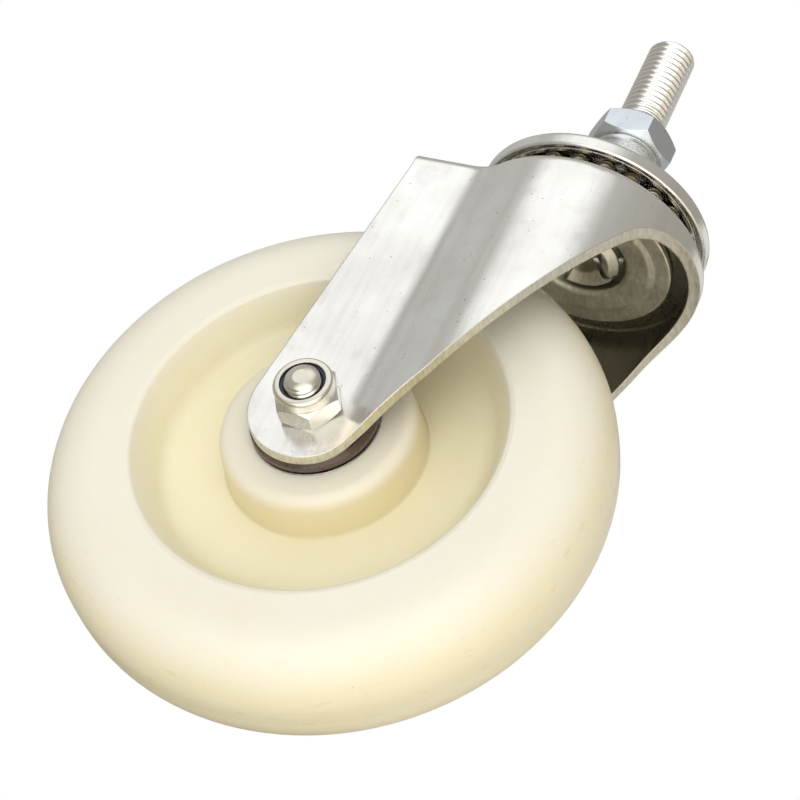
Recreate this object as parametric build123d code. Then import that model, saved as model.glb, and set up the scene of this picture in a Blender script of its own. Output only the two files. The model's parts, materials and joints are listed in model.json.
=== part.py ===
"""Threaded-stem swivel castor with a solid nylon wheel, in millimetres.

+Z runs up the threaded stem and the origin is on its axis at the lock nut's top face. +X is the
castor's front: the wheel trails towards -X, with its axle along Y and the axle's lock nut at -Y.
"""

import math
import os

from build123d import *

# --- wheel ---
WHEEL_RADIUS = 62.5
TREAD_WIDTH = 30.4
SHOULDER_RADIUS = 13.4
RIM_INNER_RADIUS = 41.0
RIM_WALL_DRAFT = 4.5
WEB_THICKNESS = 9.6
HUB_RADIUS = 21.3
HUB_DRAFT = 0.9
HUB_WIDTH = 31.5

# --- where the axle is, from the origin ---
AXLE_DROP = 111.6
AXLE_PAST_CREASE = 6.3

# --- fork, pressed from one sheet ---
SHEET = 2.5
FORK_GAP = 38.0
CROWN_RADIUS = 29.7
CROWN_DROP = 36.3
CROWN_BEND = 3.2
CREASE_RADIUS = 12.5
LEG_TIP_RADIUS = 13.6
LEG_REAR_REACH = 7.1
LEG_FRONT_LEAN = 26.0
LEG_KNEE_REACH = 23.0
LEG_KNEE_RISE = 11.0
LEG_KNEE_SWEEP = 10.0
LEG_TOP_REACH = 53.5
SKIRT_DEPTH = 5.4
SKIRT_SWEEP = 18.0
PLATEAU_RISE = 4.0
PLATEAU_CLEARANCE = 0.9
CROWN_BORE = 10.0

# --- swivel head ---
UPPER_BALL = 5.56
UPPER_BALLS = 24
UPPER_TRACK = 23.0
LOWER_BALL = 4.5
LOWER_BALLS = 14
LOWER_RACE_GAP = 0.4
BALL_SLACK = 0.15
RACE_DEPTH = 0.5
CAP_RADIUS = 28.1
CAP_GAP = 3.9
CAP_SHEET = 2.4
CAP_RIM = 3.6
CAP_LIP = 1.2
CAP_RELIEF = 2.2
NECK_RADIUS = 8.4
NECK_HEIGHT = 2.2
CUP_SHEET = 1.5
CUP_BULGE = 1.4
CUP_RADIUS = 22.4
CUP_GAP = 0.35
KINGPIN_RADIUS = 8.0
PRONG_SLIT = 1.8
PRONG_FLARE = 2.2
PRONG_DEPTH = 4.8

# --- threaded stem and its lock nut ---
STEM_DIAMETER = 12.0
STEM_LENGTH = 29.8
STEM_CHAMFER = 1.1
RUNOUT_DEPTH = 0.2
LOCK_NUT_FLATS = 19.0
LOCK_NUT_HEIGHT = 7.4
NUT_CHAMFER = 38.0
FIT = 0.05

# --- axle ---
AXLE_DIAMETER = 8.0
AXLE_FIT = 0.1
AXLE_NUT_FLATS = 13.0
AXLE_NUT_HEX = 5.2
AXLE_NUT_COLLAR = 2.7
AXLE_NUT_COLLAR_RADIUS = 6.45
BOLT_HEAD_HEIGHT = 5.3
BOLT_PROUD = 1.6
INSERT_THICKNESS = 2.0
INSERT_RADIUS = 5.3
SLEEVE_RADIUS = 6.0
DUST_COVER_RADIUS = 14.0
DUST_COVER_LIP = 0.5
SPACER_RADIUS = 10.0
SPACER_THICKNESS = 1.2

# --- wheel bearings ---
BEARING_RADIUS = 14.0
BEARING_WIDTH = 8.0
INNER_RING_RADIUS = 8.3
OUTER_RING_BORE = 11.7
BEARING_BALL = 4.6
BEARING_BALLS = 8
SEAL_SHEET = 0.8

# --- worked out from the sizes above ---
LEG_INNER = FORK_GAP / 2
LEG_OUTER = LEG_INNER + SHEET
FLAT_START = math.sqrt((CROWN_RADIUS + CREASE_RADIUS)**2 - (LEG_OUTER + CREASE_RADIUS)**2)
TRAIL = FLAT_START + AXLE_PAST_CREASE
PLATEAU_RADIUS = UPPER_TRACK - UPPER_BALL / 2 - PLATEAU_CLEARANCE
LOWER_TRACK = PLATEAU_RADIUS - SHEET - LOWER_RACE_GAP - LOWER_BALL / 2
CROWN_TOP = -CROWN_DROP
CROWN_UNDER = CROWN_TOP - SHEET
PLATEAU_UNDER = CROWN_UNDER + PLATEAU_RISE
UPPER_GROOVE = UPPER_BALL / 2 + BALL_SLACK
LOWER_GROOVE = LOWER_BALL / 2 + BALL_SLACK
UPPER_BALL_Z = CROWN_TOP - RACE_DEPTH + UPPER_GROOVE
LOWER_BALL_Z = PLATEAU_UNDER - LOWER_BALL / 2 - BALL_SLACK
CAP_UNDER = CROWN_TOP + CAP_GAP
CAP_RACE = UPPER_BALL_Z + UPPER_BALL / 2 + BALL_SLACK - RACE_DEPTH
CAP_TOP = -LOCK_NUT_HEIGHT
CUP_FLOOR = LOWER_BALL_Z - LOWER_GROOVE
CUP_FLANGE_TOP = CROWN_UNDER - CUP_GAP
CUP_CENTRE_TOP = LOWER_BALL_Z + CUP_SHEET
HUB_FACE = HUB_WIDTH / 2
BEARING_INNER_FACE = HUB_FACE - BEARING_WIDTH
BEARING_MIDDLE = HUB_FACE - BEARING_WIDTH / 2
BEARING_TRACK = (INNER_RING_RADIUS + OUTER_RING_BORE) / 2
AXLE_BORE = AXLE_DIAMETER / 2 + AXLE_FIT
NUT_TOP = LEG_OUTER + AXLE_NUT_HEX + AXLE_NUT_COLLAR
BOLT_TIP = NUT_TOP + BOLT_PROUD
SIDES = {"left": -1, "right": 1}


def turned(corners):
    """A piece turned about Z from (radius, height, corner rounding) points."""
    points = [(radius, height) for radius, height, _ in corners]
    rounding = [corner[2] for corner in corners]
    outline = FilletPolyline(*points, radius=rounding, close=True)
    return revolve(Plane.XZ * make_face(outline), Axis.Z)


def ring(inner, outer, bottom, top):
    """A plain ring about Z."""
    return Pos(0, 0, bottom) * extrude(Circle(outer) - Circle(inner), top - bottom)


def rod(radius, bottom, top):
    """A plain round bar about Z."""
    return Pos(0, 0, bottom) * extrude(Circle(radius), top - bottom)


def on_axle(piece, side=-1):
    """Stands a piece built about Z on the axle, its +Z facing outwards on the given side."""
    return Pos(-TRAIL, 0, -AXLE_DROP) * Rot(-90 * side, 0, 0) * piece


def ball_ring(count, diameter, track, height):
    """Separate balls evenly spaced round Z."""
    ball = Sphere(diameter / 2)
    turns = [360 * k / count for k in range(count)]
    return Compound([Rot(0, 0, turn) * Pos(track, 0, height) * ball for turn in turns])


def hexagon(flats, height):
    """A hexagon blank standing on Z = 0, its corners chamfered at both faces."""
    corner = flats / math.sqrt(3)
    face = flats / 2 * 0.96
    drop = (corner - face) * math.tan(math.radians(NUT_CHAMFER))
    blank = extrude(RegularPolygon(corner, 6), height)
    barrel = turned([
        (0, 0, 0),
        (face, 0, 0),
        (corner, drop, 0),
        (corner, height - drop, 0),
        (face, height, 0),
        (0, height, 0),
    ])
    return blank & barrel


# --- wheel ---
def nylon_wheel():
    """Solid wheel: full-round tread, dished web and a stout hub with a bearing seat at each end."""
    side, web = TREAD_WIDTH / 2, WEB_THICKNESS / 2
    half = [
        (INNER_RING_RADIUS + 1.5, BEARING_INNER_FACE, 0),
        (BEARING_RADIUS + FIT / 5, BEARING_INNER_FACE, 0),
        (BEARING_RADIUS + FIT / 5, HUB_FACE, 0.3),
        (HUB_RADIUS, HUB_FACE, 2.8),
        (HUB_RADIUS + HUB_DRAFT, web, 0.6),
        (RIM_INNER_RADIUS - RIM_WALL_DRAFT, web, 4.0),
        (RIM_INNER_RADIUS, side - 0.4, 0.8),
        (RIM_INNER_RADIUS + 1.2, side, 0.6),
        (WHEEL_RADIUS, side, SHOULDER_RADIUS),
    ]
    other_half = [(radius, -height, rounding) for radius, height, rounding in reversed(half)]
    return on_axle(turned(half + other_half))


# --- wheel bearings ---
def race_groove():
    return Pos(0, 0, BEARING_MIDDLE) * Torus(BEARING_TRACK, BEARING_BALL / 2 + BALL_SLACK)


def bearing_inner_ring(side):
    blank = ring(SLEEVE_RADIUS + FIT / 5, INNER_RING_RADIUS, BEARING_INNER_FACE, HUB_FACE)
    return on_axle(blank - race_groove(), side)


def bearing_outer_ring(side):
    blank = ring(OUTER_RING_BORE, BEARING_RADIUS, BEARING_INNER_FACE, HUB_FACE)
    return on_axle(blank - race_groove(), side)


def bearing_balls(side):
    balls = ball_ring(BEARING_BALLS, BEARING_BALL, BEARING_TRACK, BEARING_MIDDLE)
    return on_axle(balls, side)


def bearing_seal(side):
    """Flat shield between the rings, pressed into the outer one."""
    top = HUB_FACE - 0.3
    return on_axle(ring(INNER_RING_RADIUS + 0.15, OUTER_RING_BORE, top - SEAL_SHEET, top), side)


# --- parts clamped on the axle ---
def dust_cover(side):
    """Dark cover under the fork leg, its lip turned towards the hub."""
    bore, rim = SLEEVE_RADIUS + FIT / 5, DUST_COVER_RADIUS
    under = HUB_FACE + FIT + SPACER_THICKNESS + FIT / 5
    top = LEG_INNER - FIT / 5
    return on_axle(turned([
        (bore, under, 0),
        (rim - 1.2, under, 0.2),
        (rim - 0.7, under - DUST_COVER_LIP, 0.1),
        (rim, under - DUST_COVER_LIP, 0.2),
        (rim, under + 0.8, 0.3),
        (rim - 0.9, top, 0.3),
        (bore, top, 0),
    ]), side)


def spacer_washer(side):
    """Plain washer that keeps the cover clear of the turning hub."""
    bottom = HUB_FACE + FIT
    return on_axle(ring(SLEEVE_RADIUS + FIT / 5, SPACER_RADIUS, bottom, bottom + SPACER_THICKNESS), side)


def axle_sleeve():
    return on_axle(ring(AXLE_BORE, SLEEVE_RADIUS, -LEG_INNER, LEG_INNER))


def axle_bolt():
    """Bolt through both legs, hexagon head on the far side and its tip past the nut."""
    shank = AXLE_DIAMETER / 2
    shaft = turned([
        (0, -LEG_OUTER - 1, 0),
        (shank, -LEG_OUTER - 1, 0),
        (shank, BOLT_TIP - 0.9, 0),
        (shank * 0.78, BOLT_TIP - 0.2, 0.5),
        (0, BOLT_TIP, 0),
    ])
    head = Pos(0, 0, -LEG_OUTER - BOLT_HEAD_HEIGHT) * hexagon(AXLE_NUT_FLATS, BOLT_HEAD_HEIGHT)
    return on_axle(shaft + head)


def axle_lock_nut():
    """Self-locking nut: a hexagon with a round collar rolled in over the locking ring."""
    bore = AXLE_DIAMETER / 2 + FIT
    base = hexagon(AXLE_NUT_FLATS, AXLE_NUT_HEX) - rod(bore, -1, AXLE_NUT_HEX + 1)
    ledge = AXLE_NUT_HEX + AXLE_NUT_COLLAR - INSERT_THICKNESS - 0.5
    lid = AXLE_NUT_HEX + AXLE_NUT_COLLAR
    collar = turned([
        (bore, AXLE_NUT_HEX - 1, 0),
        (AXLE_NUT_COLLAR_RADIUS, AXLE_NUT_HEX - 1, 0),
        (AXLE_NUT_COLLAR_RADIUS, lid, 0.8),
        (INSERT_RADIUS - 0.4, lid, 0.1),
        (INSERT_RADIUS - 0.4, lid - 0.4, 0.1),
        (INSERT_RADIUS, lid - 0.5, 0),
        (INSERT_RADIUS, ledge, 0),
        (bore, ledge, 0),
    ])
    return on_axle(Pos(0, 0, LEG_OUTER) * (base + collar))


def nylon_locking_insert():
    top = NUT_TOP - 0.55
    return on_axle(turned([
        (AXLE_DIAMETER / 2 + FIT, top - INSERT_THICKNESS + FIT, 0),
        (INSERT_RADIUS - FIT / 5, top - INSERT_THICKNESS + FIT, 0),
        (INSERT_RADIUS - FIT / 5, top, 0),
        (AXLE_DIAMETER / 2 + FIT, top, 0.4),
    ]))


# --- fork ---
def crown_plan(inset):
    """Keyhole outline from above: a round crown run into two parallel legs."""
    radius, leg = CROWN_RADIUS - inset, LEG_OUTER - inset
    crease = -math.sqrt(radius**2 - leg**2)
    back = -TRAIL - 2 * LEG_TIP_RADIUS
    legs = Pos((crease + back) / 2, 0) * Rectangle(crease - back, 2 * leg)
    plan = legs + Circle(radius)
    corners = [v for v in plan.vertices() if abs(v.X - crease) < 0.01]
    return fillet(corners, CREASE_RADIUS + inset)


def crown_block(inset, top, bend):
    """The keyhole outline as a block, with its upper edge rounded by the bend."""
    depth = AXLE_DROP + 2 * LEG_TIP_RADIUS
    block = extrude(Pos(0, 0, top) * crown_plan(inset), -depth)
    rim = block.edges().filter_by(lambda e: abs(e.center().Z - top) < 0.01)
    return fillet(rim, bend)


def leg_outline():
    """Side view of the pressing: straight rear edge, round tip, leaning front edge, short skirt."""
    tip = Pos(-TRAIL, -AXLE_DROP) * Circle(LEG_TIP_RADIUS)
    lean = math.radians(LEG_FRONT_LEAN)
    skirt = CROWN_TOP - SKIRT_DEPTH
    front_low = (
        -TRAIL + LEG_TIP_RADIUS * math.cos(lean),
        -AXLE_DROP - LEG_TIP_RADIUS * math.sin(lean),
    )
    blank = FilletPolyline(
        front_low,
        (-TRAIL + LEG_KNEE_REACH, -AXLE_DROP + LEG_KNEE_RISE),
        (-TRAIL + LEG_TOP_REACH, skirt),
        (2 * CROWN_RADIUS, skirt + 1),
        (2 * CROWN_RADIUS, CROWN_TOP + 1),
        (-TRAIL - LEG_REAR_REACH, CROWN_TOP + 1),
        (-TRAIL - LEG_REAR_REACH, CROWN_UNDER - 2),
        (-TRAIL - LEG_TIP_RADIUS * 0.995, -AXLE_DROP + LEG_TIP_RADIUS * 0.08),
        radius=[0, LEG_KNEE_SWEEP, SKIRT_SWEEP, 0, 0, 0, 3, 0],
        close=True,
    )
    return make_face(blank) + tip


def raised_plateau():
    """Round pressing in the crown that seats the lower ball race."""
    top, under = CROWN_TOP + PLATEAU_RISE, PLATEAU_UNDER
    wall = PLATEAU_RADIUS - SHEET
    return turned([
        (CROWN_BORE, under, 0),
        (wall, under, 1.0),
        (wall, CROWN_UNDER, 0.8),
        (PLATEAU_RADIUS + 2, CROWN_UNDER, 0),
        (PLATEAU_RADIUS + 1, CROWN_TOP, 0),
        (PLATEAU_RADIUS, CROWN_TOP, 0.5),
        (PLATEAU_RADIUS, top, 1.6),
        (CROWN_BORE, top, 0.6),
    ])


def fork():
    """One pressed sheet: round crown, both legs, raised plateau and the upper ball groove."""
    shell = crown_block(0, CROWN_TOP, CROWN_BEND) - crown_block(SHEET, CROWN_UNDER, CROWN_BEND - SHEET)
    side_view = extrude(Plane.XZ * leg_outline(), 2 * CROWN_RADIUS, both=True)
    pressing = shell & side_view
    pressing -= rod(PLATEAU_RADIUS + 0.5, CROWN_UNDER - 1, CROWN_TOP + 1)
    pressing += raised_plateau()
    pressing -= Pos(0, 0, UPPER_BALL_Z) * Torus(UPPER_TRACK, UPPER_GROOVE)
    return pressing - on_axle(rod(AXLE_BORE, -2 * LEG_OUTER, 2 * LEG_OUTER))


# --- swivel head ---
def threaded_stem():
    """Kingpin and stem in one: split end, plain shank, thread run-out and the M12 length."""
    thread = STEM_DIAMETER / 2
    shoulder = CAP_TOP - NECK_HEIGHT - CAP_SHEET
    end = CUP_CENTRE_TOP - CUP_SHEET
    flare = KINGPIN_RADIUS + PRONG_FLARE
    body = turned([
        (0, end - 0.4, 0),
        (3.6, end - 0.8, 0.8),
        (flare - 2.4, end - PRONG_DEPTH, 0.4),
        (flare, end - PRONG_DEPTH + 1.8, 0.6),
        (KINGPIN_RADIUS, end - 0.4, 0.8),
        (KINGPIN_RADIUS, shoulder, 0.4),
        (thread - RUNOUT_DEPTH, shoulder + 0.6, 0),
        (thread - RUNOUT_DEPTH, -RUNOUT_DEPTH, 0),
        (thread, 0, 0),
        (thread, STEM_LENGTH - STEM_CHAMFER, 0),
        (thread - STEM_CHAMFER, STEM_LENGTH, 0),
        (0, STEM_LENGTH, 0),
    ])
    slit = Pos(0, 0, end - 0.8 - PRONG_DEPTH / 2) * Box(4 * flare, PRONG_SLIT, PRONG_DEPTH)
    for turn in (30, 120):
        body -= Rot(0, 0, turn) * slit
    return body


def upper_raceway_cap():
    """Bell-shaped cap over the upper balls, drawn up into a neck round the stem."""
    bore = STEM_DIAMETER / 2 - RUNOUT_DEPTH + FIT
    shoulder = CAP_TOP - NECK_HEIGHT
    brow = CAP_UNDER + CAP_RIM
    groove = UPPER_BALL / 2 - 0.1
    cap = turned([
        (bore, shoulder - CAP_SHEET + 0.6 + FIT, 0),
        (KINGPIN_RADIUS + FIT, shoulder - CAP_SHEET + FIT, 0),
        (KINGPIN_RADIUS + FIT, shoulder - CAP_SHEET - 0.6, 0),
        (KINGPIN_RADIUS + 1.0, shoulder - CAP_SHEET - 1.8, 0.5),
        (UPPER_TRACK - groove - 0.8, CAP_RACE + 2.0, 1.5),
        (UPPER_TRACK - groove - 0.8, CAP_RACE, 0.4),
        (UPPER_TRACK + groove, CAP_RACE, 0.2),
        (UPPER_TRACK + groove + 0.2, CAP_UNDER + CAP_RELIEF, 0.2),
        (CAP_RADIUS - CAP_LIP - 0.3, CAP_UNDER + CAP_RELIEF, 0.2),
        (CAP_RADIUS - CAP_LIP, CAP_UNDER, 0.2),
        (CAP_RADIUS, CAP_UNDER, 0.6),
        (CAP_RADIUS, brow, 1.6),
        (CAP_RADIUS - 2.6, brow + 1.2, 2.0),
        (NECK_RADIUS, shoulder, 2.5),
        (NECK_RADIUS, CAP_TOP, 0.4),
        (bore, CAP_TOP, 0),
    ])
    return cap - Pos(0, 0, UPPER_BALL_Z) * Torus(UPPER_TRACK, UPPER_GROOVE)


def lower_raceway_cup():
    """Pressed cup under the crown whose channel carries the lower balls."""
    inner, outer = LOWER_TRACK - LOWER_GROOVE, LOWER_TRACK + LOWER_GROOVE
    flange_under = CUP_FLANGE_TOP - CUP_SHEET
    blank = turned([
        (KINGPIN_RADIUS + FIT / 5, CUP_CENTRE_TOP, 0),
        (LOWER_TRACK, CUP_CENTRE_TOP, 0),
        (LOWER_TRACK, CUP_FLANGE_TOP, 0),
        (CUP_RADIUS, CUP_FLANGE_TOP, 0.3),
        (CUP_RADIUS, flange_under, 0.4),
        (outer + CUP_BULGE + 0.8, flange_under, 0.8),
        (outer + CUP_BULGE - 0.8, CUP_FLOOR - CUP_SHEET, 1.4),
        (inner + 0.4, CUP_FLOOR - CUP_SHEET, 1.2),
        (inner - CUP_SHEET, CUP_CENTRE_TOP - CUP_SHEET, 0.6),
        (KINGPIN_RADIUS + FIT / 5, CUP_CENTRE_TOP - CUP_SHEET, 0),
    ])
    return blank - Pos(0, 0, LOWER_BALL_Z) * Torus(LOWER_TRACK, LOWER_GROOVE)


def upper_bearing_balls():
    return ball_ring(UPPER_BALLS, UPPER_BALL, UPPER_TRACK, UPPER_BALL_Z)


def lower_bearing_balls():
    return ball_ring(LOWER_BALLS, LOWER_BALL, LOWER_TRACK, LOWER_BALL_Z)


def lock_nut():
    nut = hexagon(LOCK_NUT_FLATS, LOCK_NUT_HEIGHT - FIT)
    nut -= rod(STEM_DIAMETER / 2 + FIT, -1, LOCK_NUT_HEIGHT + 1)
    return Pos(0, 0, -LOCK_NUT_HEIGHT + FIT) * Rot(0, 0, 3.2) * nut


PARTS = {
    "threaded_stem": threaded_stem(),
    "upper_raceway_cap": upper_raceway_cap(),
    "lower_raceway_cup": lower_raceway_cup(),
    "upper_bearing_balls": upper_bearing_balls(),
    "lower_bearing_balls": lower_bearing_balls(),
    "lock_nut": lock_nut(),
    "fork": fork(),
    "axle_bolt": axle_bolt(),
    "axle_lock_nut": axle_lock_nut(),
    "nylon_locking_insert": nylon_locking_insert(),
    "axle_sleeve": axle_sleeve(),
    "nylon_wheel": nylon_wheel(),
}
for name, side in SIDES.items():
    PARTS["bearing_inner_ring_" + name] = bearing_inner_ring(side)
    PARTS["bearing_outer_ring_" + name] = bearing_outer_ring(side)
    PARTS["bearing_balls_" + name] = bearing_balls(side)
    PARTS["bearing_seal_" + name] = bearing_seal(side)
    PARTS["dust_cover_" + name] = dust_cover(side)
    PARTS["spacer_washer_" + name] = spacer_washer(side)

os.makedirs("parts", exist_ok=True)
for name, shape in PARTS.items():
    export_step(shape, "parts/" + name + ".step")
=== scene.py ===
"""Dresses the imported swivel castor: threads, metal, nylon, studio light and camera. Units are metres."""

import json
import math

import bmesh
import bpy
from mathutils import Euler, Matrix, Vector


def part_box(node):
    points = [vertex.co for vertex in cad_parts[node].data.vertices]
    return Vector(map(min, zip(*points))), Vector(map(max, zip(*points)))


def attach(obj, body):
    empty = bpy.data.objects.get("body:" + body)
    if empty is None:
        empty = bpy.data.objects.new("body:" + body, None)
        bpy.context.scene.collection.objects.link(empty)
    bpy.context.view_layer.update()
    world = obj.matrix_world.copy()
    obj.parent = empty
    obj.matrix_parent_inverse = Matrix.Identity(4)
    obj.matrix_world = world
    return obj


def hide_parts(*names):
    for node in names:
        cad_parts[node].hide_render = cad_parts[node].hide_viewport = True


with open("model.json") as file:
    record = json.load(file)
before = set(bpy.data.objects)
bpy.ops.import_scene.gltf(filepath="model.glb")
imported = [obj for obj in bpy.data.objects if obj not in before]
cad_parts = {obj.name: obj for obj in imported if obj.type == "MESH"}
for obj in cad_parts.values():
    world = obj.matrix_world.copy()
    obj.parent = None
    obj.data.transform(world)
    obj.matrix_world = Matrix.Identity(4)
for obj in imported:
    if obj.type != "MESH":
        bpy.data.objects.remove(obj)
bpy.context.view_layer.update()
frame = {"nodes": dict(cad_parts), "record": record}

# --- sizes, metres ---
STEM_PITCH = 0.00175
STEM_THREAD_DEPTH = 0.00095
BOLT_PITCH = 0.00125
BOLT_THREAD_DEPTH = 0.0007
TIP_BEVEL = 0.0011
BOLT_DOME = 0.0015
THREAD_FACETS = 64
STEPS_PER_PITCH = 10
THREAD_INSET = 0.00002
THREADED_BOLT_END = 0.0042
FLOOR_GAP = 0.0002
FLOOR_SIZE = 6.0

# --- studio light: brightest direction, and the level from the far side (0) to there (1) ---
BRIGHT_SIDE = (-0.20, -0.75, 0.62)
WORLD_LEVELS = (
    (0.05, (0.060, 0.056, 0.042)),
    (0.20, (0.16, 0.15, 0.12)),
    (0.32, (0.34, 0.32, 0.28)),
    (0.70, (0.40, 0.38, 0.34)),
    (0.932, (0.48, 0.47, 0.44)),
    (0.976, (1.14, 1.14, 1.13)),
)
CASTOR_MIDDLE = Vector((-0.01, 0.0, -0.08))

# --- camera, at the photographed angle ---
CAMERA_PLACE = (0.1209, -0.3018, -0.2926)
CAMERA_TURN = (124.155, -23.173, 10.648)
CAMERA_LENS = 79.18
CAMERA_SENSOR = 36.0

STEM_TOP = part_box("threaded_stem")[1].z
STEM_RADIUS = 0.006
AXLE_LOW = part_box("axle_bolt")[0]
AXLE_CENTRE = (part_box("nylon_wheel")[0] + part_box("nylon_wheel")[1]) / 2
TURNS_IN_NUT = 4
NUT_TOP_CLEARANCE = 0.00001
THREAD_START = NUT_TOP_CLEARANCE - TURNS_IN_NUT * STEM_PITCH
BOLT_RADIUS = 0.004
WHEEL_RADIUS = (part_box("nylon_wheel")[1].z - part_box("nylon_wheel")[0].z) / 2
FLOOR_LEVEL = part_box("nylon_wheel")[0].z
FORK_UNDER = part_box("fork")[1].z - 0.0075
FORK_MIDDLE = 0.0203
CROWN_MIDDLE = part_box("fork")[1].x - 0.00125


# ---------------------------------------------------------------- node helpers
class Shader:
    """One material and the few node patterns that this scene repeats."""

    def __init__(self, name, colour, metallic, roughness):
        self.material = bpy.data.materials.new(name)
        self.material.use_nodes = True
        self.nodes = self.material.node_tree.nodes
        self.links = self.material.node_tree.links
        self.surface = self.nodes["Principled BSDF"]
        self.surface.inputs["Base Color"].default_value = (*colour, 1)
        self.surface.inputs["Metallic"].default_value = metallic
        self.surface.inputs["Roughness"].default_value = roughness
        self.place = self.nodes.new("ShaderNodeTexCoord").outputs["Object"]

    def stretched(self, scale):
        """Object coordinates scaled differently along each axis."""
        mapping = self.nodes.new("ShaderNodeMapping")
        mapping.inputs["Scale"].default_value = scale
        self.links.new(self.place, mapping.inputs["Vector"])
        return mapping.outputs["Vector"]

    def noise(self, scale, detail=3.0, vector=None, roughness=0.55):
        node = self.nodes.new("ShaderNodeTexNoise")
        node.inputs["Scale"].default_value = scale
        node.inputs["Detail"].default_value = detail
        node.inputs["Roughness"].default_value = roughness
        self.links.new(vector or self.place, node.inputs["Vector"])
        return node.outputs["Fac"]

    def cells(self, scale, vector=None):
        """Distance to the nearest of many scattered points."""
        node = self.nodes.new("ShaderNodeTexVoronoi")
        node.inputs["Scale"].default_value = scale
        self.links.new(vector or self.place, node.inputs["Vector"])
        return node.outputs["Distance"]

    def spread(self, value, low, high, out_low=0.0, out_high=1.0):
        """Maps low..high of a value to out_low..out_high, clamped."""
        node = self.nodes.new("ShaderNodeMapRange")
        node.inputs["From Min"].default_value = low
        node.inputs["From Max"].default_value = high
        node.inputs["To Min"].default_value = out_low
        node.inputs["To Max"].default_value = out_high
        self.links.new(value, node.inputs["Value"])
        return node.outputs["Result"]

    def maths(self, operation, first, second):
        node = self.nodes.new("ShaderNodeMath")
        node.operation = operation
        for socket, value in zip(node.inputs, (first, second)):
            if isinstance(value, (int, float)):
                socket.default_value = value
            else:
                self.links.new(value, socket)
        return node.outputs["Value"]

    def mixed(self, factor, first, second):
        """A colour between two, by a factor; each may be a colour or another node's output."""
        node = self.nodes.new("ShaderNodeMix")
        node.data_type = "RGBA"
        self.links.new(factor, node.inputs["Factor"])
        for socket, value in zip((node.inputs[6], node.inputs[7]), (first, second)):
            if isinstance(value, tuple):
                socket.default_value = (*value, 1)
            else:
                self.links.new(value, socket)
        return node.outputs[2]

    def bump(self, height, strength, distance, below=None):
        node = self.nodes.new("ShaderNodeBump")
        node.inputs["Strength"].default_value = strength
        node.inputs["Distance"].default_value = distance
        self.links.new(height, node.inputs["Height"])
        if below:
            self.links.new(below, node.inputs["Normal"])
        return node.outputs["Normal"]

    def feed(self, socket, value):
        self.links.new(value, self.surface.inputs[socket])

    def radius_from_axle(self):
        """Distance from the axle's line, in metres."""
        offset = self.nodes.new("ShaderNodeVectorMath")
        offset.operation = "SUBTRACT"
        offset.inputs[1].default_value = AXLE_CENTRE
        self.links.new(self.place, offset.inputs[0])
        flat = self.nodes.new("ShaderNodeVectorMath")
        flat.operation = "MULTIPLY"
        flat.inputs[1].default_value = (1, 0, 1)
        self.links.new(offset.outputs["Vector"], flat.inputs[0])
        length = self.nodes.new("ShaderNodeVectorMath")
        length.operation = "LENGTH"
        self.links.new(flat.outputs["Vector"], length.inputs[0])
        return length.outputs["Value"]

    def along(self, axis, vector=None):
        """One coordinate of the place, or of another vector."""
        split = self.nodes.new("ShaderNodeSeparateXYZ")
        self.links.new(vector or self.place, split.inputs["Vector"])
        return split.outputs[axis]

    def depth_from_middle(self):
        """Distance from the castor's middle plane, in metres."""
        return self.maths("ABSOLUTE", self.along("Y"), 0.0)

    def softened_edges(self, radius):
        """Normal with the piece's sharp edges rounded a little."""
        node = self.nodes.new("ShaderNodeBevel")
        node.samples = 4
        node.inputs["Radius"].default_value = radius
        return node.outputs["Normal"]

    def sheared_edge(self):
        """1 on the cut edges below the crown, 0 on the faces of the sheet."""
        coordinates = self.nodes.new("ShaderNodeTexCoord")
        downward = self.spread(self.along("Z", coordinates.outputs["Normal"]), -0.15, -0.30)
        below = self.spread(self.along("Z"), FORK_UNDER, FORK_UNDER - 0.0005)
        return self.maths("MULTIPLY", downward, below)

    def painted_shade_inside_fork(self):
        """1 on the inward faces of the sheet, 0 elsewhere; there the sheet is darkened as painted shade, not
        by light.
        """
        low = self.spread(self.along("Z"), FORK_UNDER + 0.0020, FORK_UNDER + 0.0010)
        between = self.spread(self.depth_from_middle(), FORK_MIDDLE + 0.0003, FORK_MIDDLE - 0.0003)
        upright = self.nodes.new("ShaderNodeVectorMath")
        upright.operation = "LENGTH"
        self.links.new(self.stretched((1, 1, 0)), upright.inputs[0])
        within = self.spread(upright.outputs["Value"], CROWN_MIDDLE + 0.0003, CROWN_MIDDLE - 0.0003)
        legs = self.maths("MULTIPLY", between, self.spread(self.along("X"), -0.015, -0.018))
        return self.maths("MULTIPLY", low, self.maths("MAXIMUM", legs, within))


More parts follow.
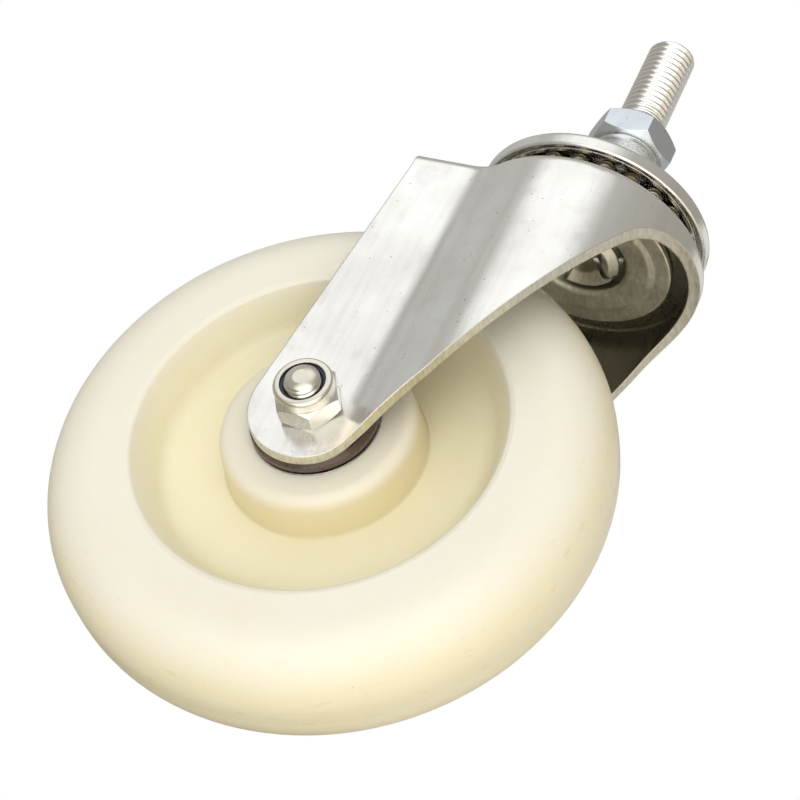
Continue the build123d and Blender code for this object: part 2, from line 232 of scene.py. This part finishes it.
# ---------------------------------------------------------------- materials
def plated_steel(
        name, bright, dull, roughness, grain,
        scratch=0.35, rounding=0.00035, waves=0.0, pressed=False):
    """Zinc-plated steel: cloudy plate, drawing grain, fine scratches, dark pits and rubbed spots; pressed,
    also torn cut edges and painted shade on the inward faces.
    """
    shader = Shader(name, bright, 1.0, roughness)
    cloud = shader.spread(shader.noise(45, 5), 0.36, 0.66)
    fine = shader.noise(900, 3)
    lines = shader.noise(700, 4, shader.stretched(grain))
    streaks = shader.spread(shader.noise(160, 5, shader.stretched(grain)), 0.50, 0.68)
    pits = shader.spread(shader.cells(330), 0.02, 0.09)
    patch = shader.spread(shader.noise(150, 6), 0.54, 0.76)
    tone = shader.mixed(cloud, bright, dull)
    tone = shader.mixed(shader.maths("MULTIPLY", streaks, 0.22), tone, tuple(c * 0.80 for c in dull))
    tone = shader.mixed(shader.maths("MULTIPLY", patch, 0.22), tone, tuple(c * 0.70 for c in dull))
    tone = shader.mixed(pits, tuple(c * 0.50 for c in dull), tone)
    rough = shader.maths("ADD", shader.spread(cloud, 0, 1, roughness * 0.75, roughness * 1.25),
                         shader.spread(lines, 0.35, 0.65, -0.03, 0.05))
    rough = shader.maths("ADD", rough, shader.maths("MULTIPLY", patch, 0.10))
    normal = shader.bump(shader.noise(60, 2), waves, 0.0004, shader.softened_edges(rounding))
    normal = shader.bump(lines, scratch, 0.00003, normal)
    normal = shader.bump(fine, 0.20, 0.00002, normal)
    normal = shader.bump(pits, 0.30, 0.00004, normal)
    if pressed:
        # Painted shade: the fork's inward faces are darkened towards dark grey.
        inside = shader.painted_shade_inside_fork()
        tone = shader.mixed(shader.maths("MULTIPLY", inside, 0.80), tone, (0.26, 0.25, 0.19))
        rough = shader.maths("ADD", rough, shader.maths("MULTIPLY", inside, 0.06))
        cut = shader.sheared_edge()
        torn = shader.noise(1300, 4, shader.stretched((1.0, 0.30, 1.0)))
        tone = shader.mixed(cut, tone, shader.mixed(shader.spread(torn, 0.30, 0.70),
                                                    (0.86, 0.83, 0.73), (0.66, 0.63, 0.52)))
        rough = shader.maths("ADD", rough, shader.maths("MULTIPLY", cut, 0.22))
        normal = shader.bump(shader.maths("MULTIPLY", torn, cut), 0.6, 0.00012, normal)
    shader.feed("Base Color", tone)
    shader.feed("Roughness", rough)
    shader.feed("Normal", normal)
    return shader.material


def cream_nylon():
    """Moulded nylon: cream sides, scuffs, specks and a mould line; painted shade makes the recess, the boss
    around the axle and the running face yellower and darker.
    """
    shader = Shader("cream_nylon", (0.88, 0.83, 0.68), 0.0, 0.34)
    radius = shader.radius_from_axle()
    depth = shader.depth_from_middle()
    # Painted shade: the recess turns a deeper yellow towards the web.
    recess = shader.maths(
        "MULTIPLY",
        shader.spread(radius, 0.0412, 0.0400),
        shader.maths("MAXIMUM", shader.spread(radius, 0.0205, 0.0225), shader.spread(depth, 0.0135, 0.0100)),
    )
    recess_depth_shade = shader.spread(depth, 0.0155, 0.0060, 0.25, 1.0)
    cloud = shader.spread(shader.noise(34, 5), 0.32, 0.70)
    skin = shader.mixed(cloud, (0.945, 0.915, 0.800), (0.925, 0.885, 0.755))
    # Painted shade: the running face of the wheel is yellower and darker than its sides.
    tread_shade = shader.maths(
        "MULTIPLY", shader.spread(radius, 0.0500, 0.0600), shader.spread(depth, 0.0140, 0.0080))
    skin = shader.mixed(tread_shade, skin, shader.mixed(cloud, (0.915, 0.850, 0.640), (0.900, 0.825, 0.600)))
    recess_shade = shader.mixed(cloud, (0.930, 0.870, 0.650), (0.910, 0.840, 0.590))
    skin = shader.mixed(shader.maths("MULTIPLY", recess, recess_depth_shade), skin, recess_shade)
    # Painted shade: the boss's face around the axle is darker, and its side turns a deeper yellow towards
    # the web.
    hub_shade = shader.spread(radius, 0.0228, 0.0224)
    skin = shader.mixed(shader.maths("MULTIPLY", hub_shade, 0.85), skin, shader.mixed(
        shader.spread(depth, 0.0120, 0.0150), (0.80, 0.705, 0.450), (0.86, 0.81, 0.67)))
    outer = shader.spread(radius, 0.0530, WHEEL_RADIUS)
    scuff = shader.spread(shader.noise(260, 5, shader.stretched((1, 2.5, 1))), 0.60, 0.72)
    scuff = shader.maths("MULTIPLY", scuff, outer)
    skin = shader.mixed(shader.maths("MULTIPLY", scuff, 0.30), skin, (0.66, 0.56, 0.34))
    specks = shader.spread(shader.cells(130), 0.030, 0.012)
    skin = shader.mixed(shader.maths("MULTIPLY", specks, 0.40), skin, (0.42, 0.33, 0.18))
    shader.feed("Base Color", skin)
    rough = shader.maths("ADD", shader.spread(cloud, 0, 1, 0.28, 0.40), shader.maths("MULTIPLY", scuff, 0.2))
    shader.feed("Roughness", rough)
    shader.surface.inputs["Subsurface Weight"].default_value = 0.30
    shader.surface.inputs["Subsurface Radius"].default_value = (1.0, 0.80, 0.40)
    shader.surface.inputs["Subsurface Scale"].default_value = 0.003
    mould_line = shader.spread(depth, 0.00012, 0.0)
    rings = shader.nodes.new("ShaderNodeMath")
    rings.operation = "SINE"
    shader.links.new(shader.maths("MULTIPLY", radius, 9000.0), rings.inputs[0])
    normal = shader.bump(shader.noise(190, 5), 0.20, 0.00006)
    normal = shader.bump(rings.outputs["Value"], 0.05, 0.00002, normal)
    shader.feed("Normal", shader.bump(mould_line, 0.5, 0.00012, normal))
    return shader.material


def plain_plastic(name, colour, roughness, dust):
    """Moulded plastic or rubber with a slight dusty bloom and a fine texture."""
    shader = Shader(name, colour, 0.0, roughness)
    bloom = shader.spread(shader.noise(180, 5), 0.45, 0.75)
    pale = tuple(c + dust for c in colour)
    shader.feed("Base Color", shader.mixed(bloom, colour, pale))
    shader.feed("Roughness", shader.spread(bloom, 0, 1, roughness - 0.08, roughness + 0.15))
    shader.feed("Normal", shader.bump(shader.noise(700, 4), 0.25, 0.00003))
    return shader.material


def polished_balls():
    """Ball steel with a grease film; both tones are also darkened as painted shade for the gap under the
    cap.
    """
    shader = Shader("ball_steel", (0.62, 0.61, 0.58), 1.0, 0.16)
    film = shader.spread(shader.noise(160, 4), 0.40, 0.62)
    # Painted shade: the steel tone is darker than bare ball steel.
    shader.feed("Base Color", shader.mixed(film, (0.50, 0.48, 0.42), (0.22, 0.18, 0.10)))
    shader.feed("Roughness", shader.spread(film, 0, 1, 0.10, 0.36))
    shader.feed("Normal", shader.bump(shader.noise(900, 2), 0.06, 0.00002))
    return shader.material


MATERIALS = {
    "zinc_plate": plated_steel(
        "zinc_plate", (0.90, 0.895, 0.875), (0.82, 0.81, 0.78), 0.22, (1.0, 1.0, 0.06),
        0.35, 0.0005, 0.45, True),
    "nut_plate": plated_steel(
        "nut_plate", (0.76, 0.80, 0.85), (0.62, 0.67, 0.72), 0.24, (1.0, 1.0, 0.15), 0.5),
    "axle_plate": plated_steel(
        "axle_plate", (0.88, 0.87, 0.84), (0.76, 0.73, 0.63), 0.20, (1.0, 0.15, 1.0), 0.5, 0.0002),
    "ring_steel": plated_steel(
        "ring_steel", (0.80, 0.79, 0.76), (0.66, 0.64, 0.60), 0.25, (1.0, 0.2, 1.0)),
    "ball_steel": polished_balls(),
    "cream_nylon": cream_nylon(),
    "dark_cover": plain_plastic("dark_cover", (0.085, 0.055, 0.038), 0.34, 0.04),
    "blue_nylon": plain_plastic("blue_nylon", (0.012, 0.018, 0.045), 0.30, 0.02),
    "seal_black": plain_plastic("seal_black", (0.020, 0.020, 0.020), 0.50, 0.02),
}


def dress_nodes():
    """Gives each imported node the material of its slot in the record."""
    for subpart in frame["record"]["subparts"]:
        node = frame["nodes"][subpart["node"]]
        node.data.materials.clear()
        node.data.materials.append(MATERIALS[subpart["material_slot"]])


# ---------------------------------------------------------------- threads
def thread_profile(share):
    """Height of a rounded V thread, 0 at the root and 1 at the crest, along one pitch."""
    return min(1.0, max(0.0, 1.25 - 2.5 * abs(share - 0.5)))


def threaded_rod(name, radius, depth, pitch, length, bevel, domed):
    """A threaded end standing on Z = 0, with a bevelled or domed tip and a closed top."""
    mesh = bmesh.new()
    rows = int(length / pitch * STEPS_PER_PITCH)
    grid = []
    for row in range(rows + 1):
        height = length * row / rows
        into_tip = max(0.0, bevel - (length - height))
        limit = radius * math.sqrt(1 - 0.8 * (into_tip / bevel)**2) if domed else radius - into_tip
        ring = []
        for facet in range(THREAD_FACETS):
            turn = facet / THREAD_FACETS
            share = (height / pitch - turn) % 1.0
            fade = min(1.0, height / pitch)
            reach = radius - depth * (1.0 - thread_profile(share)) * fade
            reach = min(reach, limit)
            angle = 2 * math.pi * turn
            ring.append(mesh.verts.new((reach * math.cos(angle), reach * math.sin(angle), height)))
        grid.append(ring)
    for low, high in zip(grid, grid[1:]):
        for facet in range(THREAD_FACETS):
            following = (facet + 1) % THREAD_FACETS
            face = mesh.faces.new((low[facet], low[following], high[following], high[facet]))
            face.smooth = True
    mesh.faces.new(grid[-1])
    mesh.faces.new(tuple(reversed(grid[0])))
    data = bpy.data.meshes.new(name)
    mesh.to_mesh(data)
    mesh.free()
    return data


def cut_back(node, origin, direction):
    """A copy of a node's mesh without what lies past the plane, closed at the cut."""
    mesh = bmesh.new()
    mesh.from_mesh(frame["nodes"][node].data)
    geometry = mesh.verts[:] + mesh.edges[:] + mesh.faces[:]
    cut = bmesh.ops.bisect_plane(
        mesh, geom=geometry, plane_co=origin, plane_no=direction, clear_outer=True)
    edges = [item for item in cut["geom_cut"] if isinstance(item, bmesh.types.BMEdge)]
    bmesh.ops.edgeloop_fill(mesh, edges=edges)
    return mesh


def threaded_piece(name, node, body, place, turn, radius, depth, pitch, length, bevel, domed):
    """A node shown with a real thread from a place on its axis to its tip, in place of the plain one."""
    mesh = cut_back(node, place, turn @ Vector((0, 0, 1)))
    thread = threaded_rod(name + "_thread", radius, depth, pitch, length, bevel, domed)
    thread.transform(Matrix.Translation(place) @ turn.to_matrix().to_4x4())
    mesh.from_mesh(thread)
    data = bpy.data.meshes.new(name)
    mesh.to_mesh(data)
    mesh.free()
    piece = bpy.data.objects.new(name, data)
    bpy.context.scene.collection.objects.link(piece)
    slot = {s["node"]: s["material_slot"] for s in frame["record"]["subparts"]}[node]
    data.materials.clear()
    data.materials.append(MATERIALS[slot])
    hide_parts(node)
    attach(piece, body)
    return piece


def add_threads():
    """The stem's thread starts inside the lock nut, so that it shows when the nut is raised."""
    threaded_piece(
        "stem_with_thread", "threaded_stem", "stem_head",
        Vector((0, 0, THREAD_START)), Euler((0, 0, 0)).to_quaternion(),
        STEM_RADIUS - THREAD_INSET, STEM_THREAD_DEPTH, STEM_PITCH, STEM_TOP - THREAD_START, TIP_BEVEL, False)
    start = AXLE_LOW.y + THREADED_BOLT_END
    threaded_piece(
        "bolt_with_thread", "axle_bolt", "fork_body", Vector((AXLE_CENTRE.x, start, AXLE_CENTRE.z)),
        Euler((math.pi / 2, 0, 0)).to_quaternion(),
        BOLT_RADIUS - THREAD_INSET, BOLT_THREAD_DEPTH, BOLT_PITCH, start - AXLE_LOW.y, BOLT_DOME, True)


# ---------------------------------------------------------------- stage
def one_sided_floor():
    """Pale floor that fades to white away from the wheel, with a painted contact shadow, seen from above and
    clear from below.
    """
    bpy.ops.mesh.primitive_plane_add(size=FLOOR_SIZE, location=(0, 0, FLOOR_LEVEL - FLOOR_GAP))
    floor = bpy.context.object
    floor.name = "floor"
    shader = Shader("floor_white", (0.90, 0.90, 0.90), 0.0, 0.7)
    # Painted contact shadow: ambient occlusion darkens the floor's colour and its glow near the wheel.
    contact = shader.nodes.new("ShaderNodeAmbientOcclusion")
    contact.inputs["Distance"].default_value = 0.06
    shade = shader.maths("POWER", contact.outputs["AO"], 1.6)
    shader.feed("Base Color", shader.mixed(shade, (0.10, 0.10, 0.10), (0.92, 0.92, 0.92)))
    shader.surface.inputs["Specular IOR Level"].default_value = 0.0
    shader.surface.inputs["Emission Color"].default_value = (1, 1, 1, 1)
    seen = shader.nodes.new("ShaderNodeLightPath").outputs["Is Camera Ray"]
    shader.feed("Emission Strength", shader.maths("MULTIPLY", shader.maths("MULTIPLY", seen, 0.22), shade))
    white = shader.nodes.new("ShaderNodeEmission")
    away = shader.nodes.new("ShaderNodeVectorMath")
    away.operation = "LENGTH"
    shader.links.new(shader.place, away.inputs[0])
    far = shader.spread(away.outputs["Value"], 0.10, 0.45)
    fading = shader.nodes.new("ShaderNodeMixShader")
    shader.links.new(far, fading.inputs["Fac"])
    shader.links.new(shader.surface.outputs["BSDF"], fading.inputs[1])
    shader.links.new(white.outputs["Emission"], fading.inputs[2])
    clear = shader.nodes.new("ShaderNodeBsdfTransparent")
    sided = shader.nodes.new("ShaderNodeMixShader")
    under = shader.nodes.new("ShaderNodeNewGeometry").outputs["Backfacing"]
    shader.links.new(under, sided.inputs["Fac"])
    shader.links.new(fading.outputs["Shader"], sided.inputs[1])
    shader.links.new(clear.outputs["BSDF"], sided.inputs[2])
    shader.links.new(sided.outputs["Shader"], shader.nodes["Material Output"].inputs["Surface"])
    floor.data.materials.append(shader.material)
    floor.visible_glossy = False
    floor.visible_diffuse = False
    floor.visible_shadow = False


def soft_lamp(name, side, distance, size, level, colour=(1, 1, 1)):
    """A round lamp on one side of the castor; level 1 lights a facing white surface to white."""
    data = bpy.data.lights.new(name, "AREA")
    data.shape = "DISK"
    data.size = size
    data.energy = level * math.pi**2 * distance**2
    data.color = colour
    lamp = bpy.data.objects.new(name, data)
    place = Vector(side).normalized() * distance
    lamp.location = CASTOR_MIDDLE + place
    lamp.rotation_euler = (-place).to_track_quat("-Z", "Y").to_euler()
    bpy.context.scene.collection.objects.link(lamp)


def studio_world():
    """White behind the object; around it a bright front and a dim far side, as in a tent."""
    world = bpy.data.worlds.new("studio")
    bpy.context.scene.world = world
    world.use_nodes = True
    nodes, links = world.node_tree.nodes, world.node_tree.links
    background = nodes["Background"]
    direction = nodes.new("ShaderNodeTexCoord").outputs["Generated"]
    facing = nodes.new("ShaderNodeVectorMath")
    facing.operation = "DOT_PRODUCT"
    facing.inputs[1].default_value = BRIGHT_SIDE
    links.new(direction, facing.inputs[0])
    ramp = nodes.new("ShaderNodeValToRGB")
    stops = ramp.color_ramp.elements
    stops[0].position, stops[0].color = WORLD_LEVELS[0][0], (*WORLD_LEVELS[0][1], 1)
    stops[1].position, stops[1].color = WORLD_LEVELS[-1][0], (*WORLD_LEVELS[-1][1], 1)
    for position, colour in WORLD_LEVELS[1:-1]:
        stops.new(position).color = (*colour, 1)
    scale = nodes.new("ShaderNodeMapRange")
    scale.inputs["From Min"].default_value = -1.0
    links.new(facing.outputs["Value"], scale.inputs["Value"])
    links.new(scale.outputs["Result"], ramp.inputs["Fac"])
    path = nodes.new("ShaderNodeLightPath")
    mix = nodes.new("ShaderNodeMix")
    mix.data_type = "RGBA"
    links.new(path.outputs["Is Camera Ray"], mix.inputs["Factor"])
    links.new(ramp.outputs["Color"], mix.inputs[6])
    mix.inputs[7].default_value = (1, 1, 1, 1)
    links.new(mix.outputs[2], background.inputs["Color"])
    background.inputs["Strength"].default_value = 1.0


def photo_camera():
    """Camera fitted to the photograph's outlines."""
    data = bpy.data.cameras.new("camera")
    data.lens = CAMERA_LENS
    data.sensor_width = CAMERA_SENSOR
    data.clip_start = 0.01
    camera = bpy.data.objects.new("camera", data)
    camera.location = CAMERA_PLACE
    camera.rotation_euler = [math.radians(angle) for angle in CAMERA_TURN]
    bpy.context.scene.collection.objects.link(camera)
    bpy.context.scene.camera = camera


dress_nodes()
add_threads()
one_sided_floor()
studio_world()
soft_lamp("front", (0.10, -0.90, -0.35), 1.3, 1.6, 0.34)
soft_lamp("front_low", (0.40, -0.72, -0.60), 1.2, 2.0, 0.41)
soft_lamp("bounce", (0.55, -0.05, -0.85), 1.2, 2.0, 0.56, (1.0, 0.92, 0.77))
soft_lamp("behind", (0.50, 0.85, 0.10), 1.2, 2.0, 0.31)
soft_lamp("left", (-0.90, 0.15, 0.40), 1.2, 1.6, 0.06, (0.80, 0.90, 1.0))
photo_camera()
bpy.context.scene.view_settings.view_transform = "Standard"
